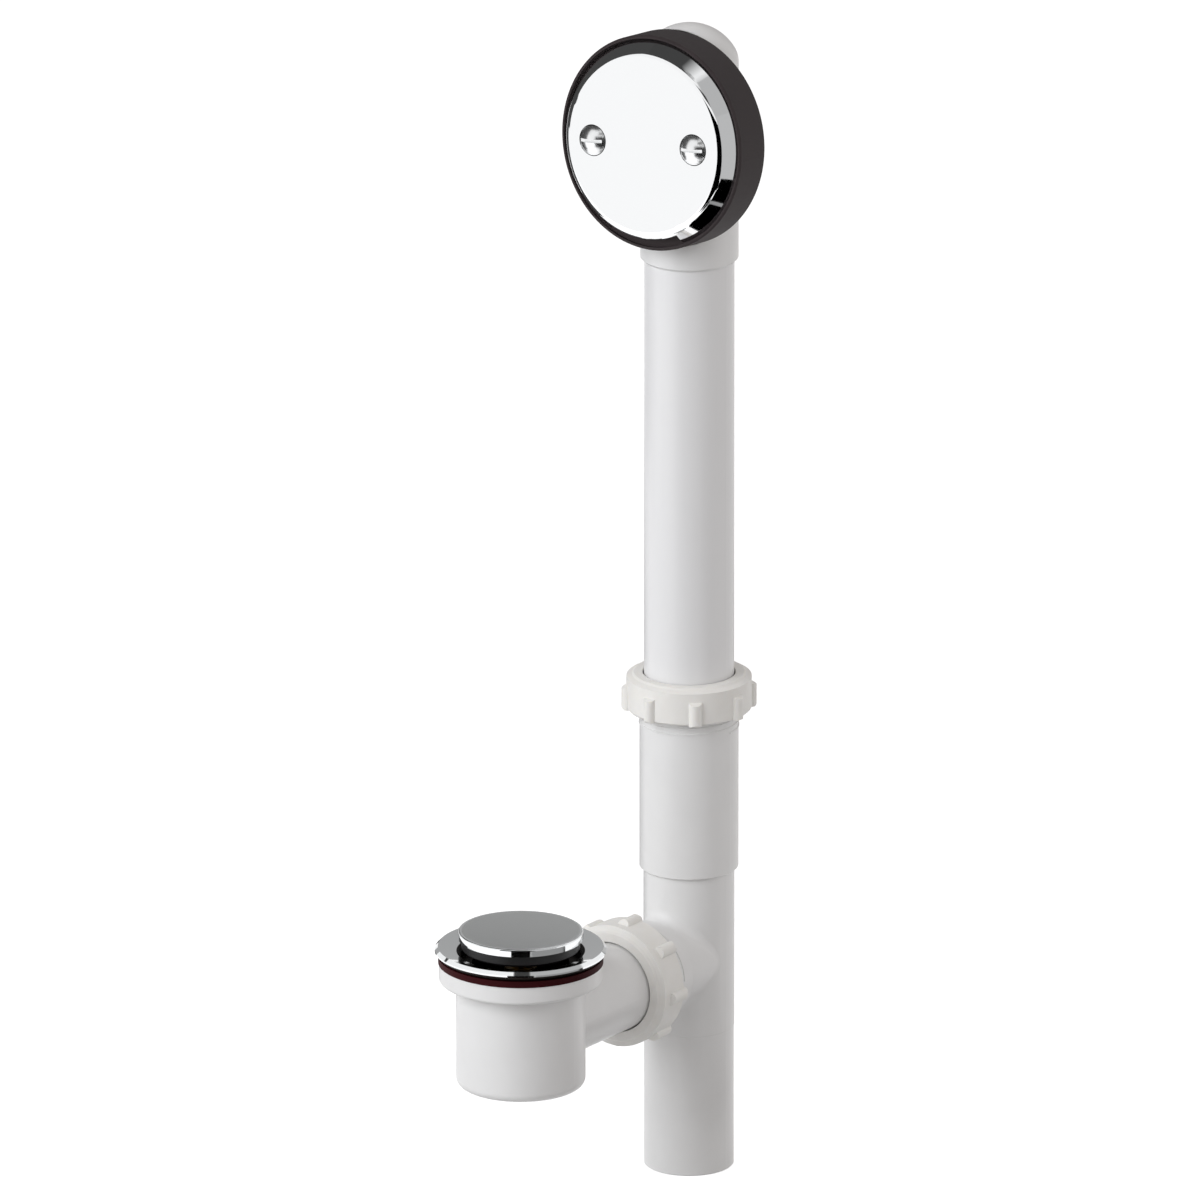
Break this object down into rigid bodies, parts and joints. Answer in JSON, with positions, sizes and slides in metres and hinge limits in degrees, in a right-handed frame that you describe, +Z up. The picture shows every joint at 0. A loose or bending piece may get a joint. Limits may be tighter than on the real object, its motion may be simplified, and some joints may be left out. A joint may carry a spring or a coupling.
{
  "type": "bath waste and overflow",
  "caption": "Tubular bath waste and overflow: tilted overflow head and plate on a tube that slides in a waste tee, drain shoe with flange, and a foot-press stopper.",
  "frame": {"origin": "centre of the outlet's lower end, on the axis of the overflow tube", "axes": "+Z up the overflow tube, -Y towards the bath and the drain shoe, +X to the right seen from the bath"},
  "size_m": [0.0917, 0.1885, 0.5057],
  "materials": {
    "pvc_white": "moulded white PVC, soft gloss",
    "nut_ivory": "moulded ivory polypropylene, soft gloss",
    "slip_washer_white": "soft polyethylene",
    "chrome": "bright chrome plate",
    "satin_chrome": "satin chrome plate",
    "brass": "turned brass",
    "gasket_rubber": "matte moulded rubber, brown-black",
    "seal_rubber": "smooth black rubber",
    "washer_rubber": "dark red rubber",
    "spring_steel": "drawn stainless wire"
  },
  "bodies": {
    "tee": {"waste_tee": "pvc_white", "overflow_slip_nut": "nut_ivory", "overflow_slip_washer": "slip_washer_white", "shoe_slip_nut": "nut_ivory", "shoe_slip_washer": "slip_washer_white"},
    "overflow": {"overflow_tube": "pvc_white", "overflow_elbow": "pvc_white", "screw_inserts": "brass", "overflow_gasket": "gasket_rubber", "overflow_plate": "chrome", "plate_screws": "chrome"},
    "shoe": {"drain_shoe": "pvc_white", "drain_washer": "washer_rubber", "drain_flange": "chrome", "cartridge_barrel": "brass", "cartridge_collar": "brass", "stopper_spring": "spring_steel"},
    "stopper": {"stopper_cap": "satin_chrome", "stopper_seal": "seal_rubber", "stopper_plunger": "brass"}
  },
  "joints": [
    {"name": "overflow_height", "type": "slide", "parent": "tee", "child": "overflow", "axis": [0, 0, 1], "range_m": [-0.025, 0.028]},
    {"name": "shoe_reach", "type": "slide", "parent": "tee", "child": "shoe", "axis": [0, -1, 0], "range_m": [-0.0025, 0.01]},
    {"name": "stopper_press", "type": "slide", "parent": "shoe", "child": "stopper", "axis": [0, 0, 1], "range_m": [-0.005, 0], "stiffness_N_per_m": 300, "springref_m": 0.012, "deforming": ["stopper_spring"]}
  ]
}
